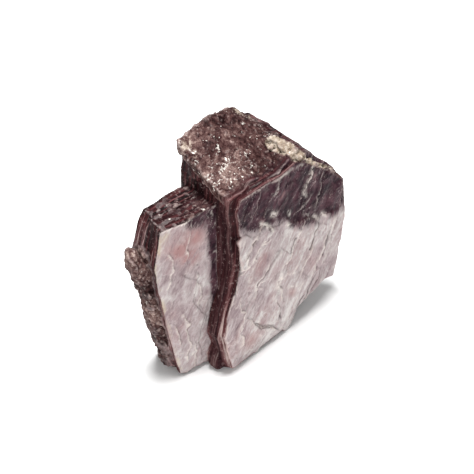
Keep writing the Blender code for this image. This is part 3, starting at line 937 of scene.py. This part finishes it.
sheet_edge_finish, given, made = new_finish("sheet_edge_finish", ["Depth", "Calm", "Shade"])
group = sheet_edge_finish
parts = add_node(group, "ShaderNodeSeparateXYZ", {"Vector": given["Vector"]}).outputs
run = add_node(group, "ShaderNodeCombineXYZ", {
    "X": given["Depth"], "Y": times(group, parts["Z"], LINE_RUN), "Z": times(group, parts["X"], LINE_RUN),
}).outputs[0]
broad = noise_texture(group, run, 1.5, detail=2.0)
fine = noise_texture(group, run, 5.2, detail=4.0, roughness=0.65)
patches = noise_texture(group, given["Vector"], 240.0, detail=5.0, roughness=0.6)
lines = weighed(group, (broad, 0.55), (fine, 0.32), (patches, 0.13))
colour = ramp(group, plus(group, lines, given["Shade"]), EDGE_LINES)
colour = mix_colour(group, times(group, given["Calm"], 0.62), colour, CALM_MAROON)
specks = noise_texture(group, given["Vector"], 1100.0, detail=4.0, roughness=0.75)
colour = mix_colour(group, times(group, fade(group, specks, 0.56, 0.66), 0.42), colour, EDGE_SPECK)
group.links.new(colour, made["Color"])
group.links.new(fade(group, fine, 0.1, 0.9), made["Roughness"])
group.links.new(weighed(group, (fine, 0.8), (patches, 0.3)), made["Height"])
print("sheet edge finish:", len(group.nodes), "nodes")

# %% [markdown]
# ## Crust and rind
#
# The crust is brown and purple crumbs of mica with bright flecks where a tiny flake faces the light, and tan
# dust along its rim and on its ridge. A flake is flat and keeps one brightness, so the flecks are Voronoi
# cells, let through in clusters. The rind is the same stuff with fewer flecks, so both share this group.

# %% Crumb finish, for the crust and the rind
CRUST_TONES = [(0.40, (0.010, 0.003, 0.003)), (0.47, (0.042, 0.018, 0.017)), (0.53, (0.092, 0.050, 0.045)),
               (0.60, (0.22, 0.150, 0.132)), (0.68, (0.45, 0.37, 0.32))]
TAN_DUST = (0.30, 0.235, 0.17)
PALE_DUST = (0.50, 0.44, 0.365)
FLECK = (0.72, 0.68, 0.62)

crumb_finish, given, made = new_finish("crumb_finish", ["Flecks", "Dust", "Shade"])
group = crumb_finish
crumb = noise_texture(group, given["Vector"], 820.0, detail=8.0, roughness=0.78, distortion=0.4)
blotch = noise_texture(group, given["Vector"], 130.0, detail=4.0)
tone = weighed(group, (crumb, 0.65), (blotch, 0.35))
colour = ramp(group, plus(group, tone, given["Shade"]), CRUST_TONES)
dusty = plus(group, given["Dust"], times(group, minus(group, crumb, 0.5), 1.6))
dust_tone = mix_colour(group, fade(group, crumb, 0.46, 0.60), TAN_DUST, PALE_DUST)
colour = mix_colour(group, times(group, fade(group, dusty, 0.35, 0.75), 0.8), colour, dust_tone)
cells = add_node(group, "ShaderNodeTexVoronoi", {"Vector": given["Vector"], "Scale": 2100.0, "Randomness": 1.0})
glint = add_node(group, "ShaderNodeSeparateColor", {"Color": cells.outputs["Color"]}).outputs[0]
clusters = noise_texture(group, given["Vector"], 620.0, detail=6.0, roughness=0.75)
let_through = fade(group, plus(group, clusters, given["Flecks"]), 0.62, 0.69)
colour = mix_colour(group, times(group, fade(group, glint, 0.35, 0.6), let_through), colour, FLECK)
group.links.new(colour, made["Color"])
group.links.new(fade(group, crumb, 0.1, 0.9), made["Roughness"])
group.links.new(weighed(group, (crumb, 0.7), (glint, 0.3)), made["Height"])
print("crumb finish:", len(group.nodes), "nodes")

# %% [markdown]
# ## Where the stain lies
#
# More attributes carry what noise can't know. The first say how far the purple stain reaches down each
# cleavage face, and where pink and tan spots lie. They are worked out on the finished mesh, from borders and
# spots in the books' own coordinates: a border is (along, height) corners, and a spot is (along, height,
# radius, strength).

# %% Stain and spots on the cleavage faces
STAIN_BORDER = [(-4.0, 47.6), (0.8, 46.6), (5.7, 45.0), (9.9, 42.8), (14.7, 41.2), (18.4, 40.0), (24.3, 35.4),
                (30.3, 32.8), (32.9, 33.9), (38.4, 29.8), (44.0, 28.6)]
SMALL_STAIN_BORDER = [(-16.0, 62.0), (-10.2, 53.5), (-7.3, 48.6), (-2.9, 45.4), (-0.9, 43.0)]
SMALL_LEFT_EDGE = [(0.0, -11.2), (5.0, -12.2), (14.2, -13.6), (24.7, -15.2), (33.0, -16.5), (41.0, -17.0),
                   (51.7, -15.0)]
PINK_SPOTS = [(6.1, 6.7, 3.0, 0.5), (21.8, 13.4, 1.6, 0.5), (10.2, 32.1, 4.0, 0.3), (29.1, 19.3, 3.4, 0.3),
              (15.0, 26.0, 3.0, 0.25)]
SMALL_PINK_SPOTS = [(-9.8, 43.8, 2.8, 0.9), (-7.3, 40.4, 3.0, 0.9), (-6.0, 46.0, 3.4, 0.8),
                    (-12.0, 45.6, 3.0, 0.5), (-12.4, 24.0, 2.0, 0.25)]
SMALL_TAN_SPOTS = [(-14.0, 50.0, 1.8, 0.6)]


def spotted(across, up, spots):
    total = np.zeros(len(across))
    for spot_x, spot_z, radius, strength in spots:
        gap_squared = (across - spot_x) ** 2 + (up - spot_z) ** 2
        total = np.maximum(total, strength * np.exp(-(gap_squared / radius**2)))
    return total


def height_at(along, border):
    """The second value of a border's corners, at this first value."""
    corners_at, corners_height = np.array(border).T
    return np.interp(along, corners_at, corners_height)


places = read_places(rock.data)
x, y, z = places.T
u, w = small_book_places(places)
on_small = small_book_share(u, w, z)
big_stain = smooth_between(z - height_at(x, STAIN_BORDER), -4.4, 4.2)
small_stain = smooth_between(u + 0.06 * (z - 20.0), -2.9, 0.3)
small_stain = np.maximum(small_stain, 0.85 * smooth_between(z - height_at(u, SMALL_STAIN_BORDER), -3.4, 4.4))
stain = big_stain * (1.0 - on_small) + 0.86 * small_stain * on_small
pink = spotted(x, z, PINK_SPOTS) * (1.0 - on_small) + spotted(u, z, SMALL_PINK_SPOTS) * on_small
tan_edge = 0.9 * smooth_between(height_at(z, SMALL_LEFT_EDGE) - u, -1.4, -0.4)
tan = on_small * np.maximum(spotted(u, z, SMALL_TAN_SPOTS), tan_edge)
tan *= smooth_between(-w, -1.0, 0.0) * smooth_between(layered_noise(places / 1.6, 2, 77), -0.5, 0.4)
for name, values in (("stain", stain), ("pink", pink), ("tan", tan)):
    store(rock.data, name, values)
print("stained:", f"{stain.mean():.0%}", "of the points")

# %% [markdown]
# Tan dust lies on the roof's rim, on the ridge and on the knob at the rind's top. Bright flecks cluster in the
# front middle of the roof. Shade makes the knob and the roof's left end lighter, and the small book's top and
# the roof's right end darker.

# %% Dust, flecks and shade of the crust
ROOF_DUST_SPOTS = [(1.8, 17.2, 2.4, 0.55), (20.6, 18.2, 2.6, 0.55), (23.6, 16.6, 2.4, 0.5),
                   (1.6, 14.0, 1.8, 0.45)]
FLECK_CENTRE = (6.8, 6.4)
FLECK_REACH = (7.5, 6.0)

ridge = smooth_between(near_line(places, RIDGE_LINE), 0.0, 0.45)
knob = smooth_between(z, 37.0, 41.0) * smooth_between(-u, 15.0, 17.0)
dust = np.clip(spotted(x, y, ROOF_DUST_SPOTS) + 0.74 * ridge + 0.32 * knob, 0.0, 1.0)
fleck_gap = np.hypot((x - FLECK_CENTRE[0]) / FLECK_REACH[0], (y - FLECK_CENTRE[1]) / FLECK_REACH[1])
flecks = 0.085 * smooth_between(-fleck_gap, -1.35, -0.2) + 0.05 * layered_noise(places / 3.0, 2, 90) + 0.01
flecks += 0.02 * smooth_between(-x, -4.5, -2.0) * smooth_between(y, 7.0, 11.0)
shade = 0.045 * knob - 0.008 + 0.028 * smooth_between(-x, -9.0, -4.0) * (1.0 - on_small)
shade -= 0.05 * on_small * smooth_between(z, 47.0, 49.0)
shade -= 0.02 * smooth_between(x, 9.0, 18.0) * (1.0 - ridge)
for name, values in (("dust", dust), ("flecks", flecks), ("shade", shade)):
    store(rock.data, name, values)
print("dusty:", f"{(dust > 0.3).mean():.0%}", "of the points")

# %% [markdown]
# The sheet edges aren't striped alike all over. The strip between the books is calm and dark, with a paler
# foot at its front edge, a lighter band follows the crest, and the small book's left side has a few wide bands
# at set depths in its stack.

# %% Bands of the sheet edges
SIDE_BANDS = [(0.0, 0.02), (2.4, 0.03), (3.0, -0.07), (6.2, -0.06), (6.5, 0.10), (6.9, 0.08), (7.3, 0.02),
              (11.0, 0.02)]

strip = (1.0 - on_small) * smooth_between(-x, -4.0, -2.6) * smooth_between(-y, -7.4, -6.0)
strip = strip * smooth_between(-z, -56.0, -53.0)
crest_band = smooth_between(-y, -3.6, -2.4) * smooth_between(z, 53.6, 55.4) * smooth_between(x, 2.0, 4.0)
calm = np.maximum(strip * smooth_between(y, 1.2, 2.6), 0.35 * crest_band)
pale_foot = strip * smooth_between(-y, -2.4, -1.0) * smooth_between(-z, -26.0, -18.0)
small_side = on_small * smooth_between(-z, -50.5, -49.0) * smooth_between(-u, 9.0, 11.0)
edge_shade = 0.02 * crest_band + 0.085 * pale_foot - 0.05 * on_small * smooth_between(z, 48.5, 50.5)
edge_shade += small_side * height_at(w, SIDE_BANDS)
for name, values in (("calm", calm), ("edge_shade", edge_shade)):
    store(rock.data, name, values)
print("calm:", f"{(calm > 0.3).mean():.0%}", "of the points")

# %% [markdown]
# ## One material for one grown piece
#
# The rock could have a material for each part, but then a hard line would divide them. So one material mixes
# the four finishes by the shares that the mesh carries. The shader itself stays in the material, and the bump
# comes from the mixed height.

# %% The rock's material and its four finishes
def attribute(name):
    return add_node(tree, "ShaderNodeAttribute", attribute_name=name).outputs["Fac"]


def finish(group, inputs):
    node = tree.nodes.new("ShaderNodeGroup")
    node.node_tree = group
    for name, value in {"Vector": where, **inputs}.items():
        if is_socket(value):
            tree.links.new(value, node.inputs[name])
        else:
            node.inputs[name].default_value = value
    return node.outputs


material = bpy.data.materials.new("lilac_mica_finish")
material.use_nodes = True
tree = material.node_tree
shader = tree.nodes["Principled BSDF"]
shader.inputs["Specular IOR Level"].default_value = 0.05
where = add_node(tree, "ShaderNodeTexCoord").outputs["Object"]
edge_share, crust_share, rind_share = attribute("edges"), attribute("crust"), attribute("rind")
face = finish(cleavage_finish, {
    "Dark": attribute("stain"), "Torn": attribute("torn"), "Cracked": attribute("cracked"),
    "Pink": attribute("pink"), "Tan": attribute("tan"),
})
side = finish(sheet_edge_finish, {
    "Depth": attribute("depth"), "Calm": attribute("calm"), "Shade": attribute("edge_shade"),
})
top = finish(crumb_finish, {
    "Flecks": attribute("flecks"), "Dust": attribute("dust"), "Shade": attribute("shade"),
})
lumps = finish(crumb_finish, {"Flecks": -0.02, "Dust": attribute("dust"), "Shade": attribute("shade")})
print("finishes placed")

# %% [markdown]
# Proud edges are painted pale, partly as wear, as on any rock that has been handled, and partly as a painted
# highlight, and hollows are darkened as painted shade. Calm places and sheet edges show less of the pale edges,
# and clean cleavage faces less of the painted shade.

# %% Mix, pale edges and painted shade
EDGE_WEAR_AND_HIGHLIGHT_COLOUR = (0.38, 0.30, 0.28)
HOLLOW_SHADE_COLOUR = (0.024, 0.010, 0.012)
BUMP_DEPTH = 0.20 * MM


def mixed(name):
    """One output of the four finishes, mixed by the shares of the rock."""
    first = face[name]
    for other, share in ((side, edge_share), (top, crust_share), (lumps, rind_share)):
        if name == "Color":
            first = mix_colour(tree, share, first, other[name])
        else:
            first = add_node(tree, "ShaderNodeMix", {0: share, 2: first, 3: other[name]}).outputs[0]
    return first


rough_spots = noise_texture(tree, where, 700.0, detail=4.0, roughness=0.7)
# Proud edges turn pale: partly wear, partly a painted highlight.
edge_wear_and_highlight = times(tree, attribute("worn_and_highlit"), fade(tree, rough_spots, 0.35, 0.62))
edge_wear_and_highlight = times(tree, edge_wear_and_highlight, minus(tree, 0.60, times(tree, edge_share, 0.35)))
edge_wear_and_highlight = times(tree, edge_wear_and_highlight, minus(tree, 1.0, times(tree, attribute("calm"), 0.85)))
colour = mix_colour(tree, edge_wear_and_highlight, mixed("Color"), EDGE_WEAR_AND_HIGHLIGHT_COLOUR)
# Painted shade: hollows are darkened, less so on cleavage faces.
painted_hollow_shade = times(tree, attribute("hollow"), minus(tree, 0.45, times(tree, attribute("cleavage"), 0.25)))
colour = mix_colour(tree, painted_hollow_shade, colour, HOLLOW_SHADE_COLOUR)
tree.links.new(colour, shader.inputs["Base Color"])
roughness = add_node(tree, "ShaderNodeMapRange", {"Value": mixed("Roughness"), "To Min": 0.34, "To Max": 0.72})
tree.links.new(roughness.outputs["Result"], shader.inputs["Roughness"])
bump = add_node(tree, "ShaderNodeBump", {"Strength": 0.85, "Distance": BUMP_DEPTH, "Height": mixed("Height")})
tree.links.new(bump.outputs["Normal"], shader.inputs["Normal"])
rock.data.materials.append(material)
print("material:", len(tree.nodes), "nodes")

# %% [markdown]
# ## Hand the rock to the frame
#
# The carved rock rides on the solid's body and is shown in its place.

# %% Ride and replace
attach(rock, "root")
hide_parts("mica_rock")
print("rock rides on root")

# %% [markdown]
# ## Floor and light
#
# The photograph was taken on a white table so brightly lit that it is white to the edges, and dark shadows lie
# only close under the overhanging ends. One strong lamp overhead does that. Two low lamps, at the left and in
# front, graze the table and light the two cleavage faces, and a weak white surrounding softens the rest.

# %% Floor
FLOOR_SIZE = 3.0
FLOOR_COLOUR = (0.90, 0.90, 0.895, 1.0)

bpy.ops.object.select_all(action="DESELECT")
bpy.ops.mesh.primitive_plane_add(size=FLOOR_SIZE, location=(0.0, 0.0, 0.0))
floor = bpy.context.object
floor.name = "floor"
table = bpy.data.materials.new("white_table")
table.use_nodes = True
table_shader = table.node_tree.nodes["Principled BSDF"]
table_shader.inputs["Base Color"].default_value = FLOOR_COLOUR
table_shader.inputs["Roughness"].default_value = 0.9
floor.data.materials.append(table)
print("floor laid")

# %% Lights
LIGHTS = {
    "top_lamp": {"place": (0.0, 0.045, 0.80), "size": 0.27, "power": 12.0},
    "left_lamp": {"place": (-0.68, -0.48, 0.16), "size": 0.50, "power": 3.7},
    "front_lamp": {"place": (-0.06, -0.84, 0.14), "size": 0.50, "power": 2.2},
}
LIT_PLACE = Vector((0.0, 0.0, 0.03))
WORLD_STRENGTH = 0.32

for name, light in LIGHTS.items():
    lamp = bpy.data.lights.new(name, "AREA")
    lamp.shape = "DISK"
    lamp.size = light["size"]
    lamp.energy = light["power"]
    holder = bpy.data.objects.new(name, lamp)
    bpy.context.scene.collection.objects.link(holder)
    holder.location = light["place"]
    holder.rotation_euler = (Vector(light["place"]) - LIT_PLACE).to_track_quat("Z", "Y").to_euler()
world = bpy.data.worlds.new("white_room")
world.use_nodes = True
world.node_tree.nodes["Background"].inputs["Color"].default_value = (1.0, 1.0, 1.0, 1.0)
world.node_tree.nodes["Background"].inputs["Strength"].default_value = WORLD_STRENGTH
bpy.context.scene.world = world
bpy.context.scene.view_settings.view_transform = "Standard"
print("lamps:", sorted(LIGHTS))
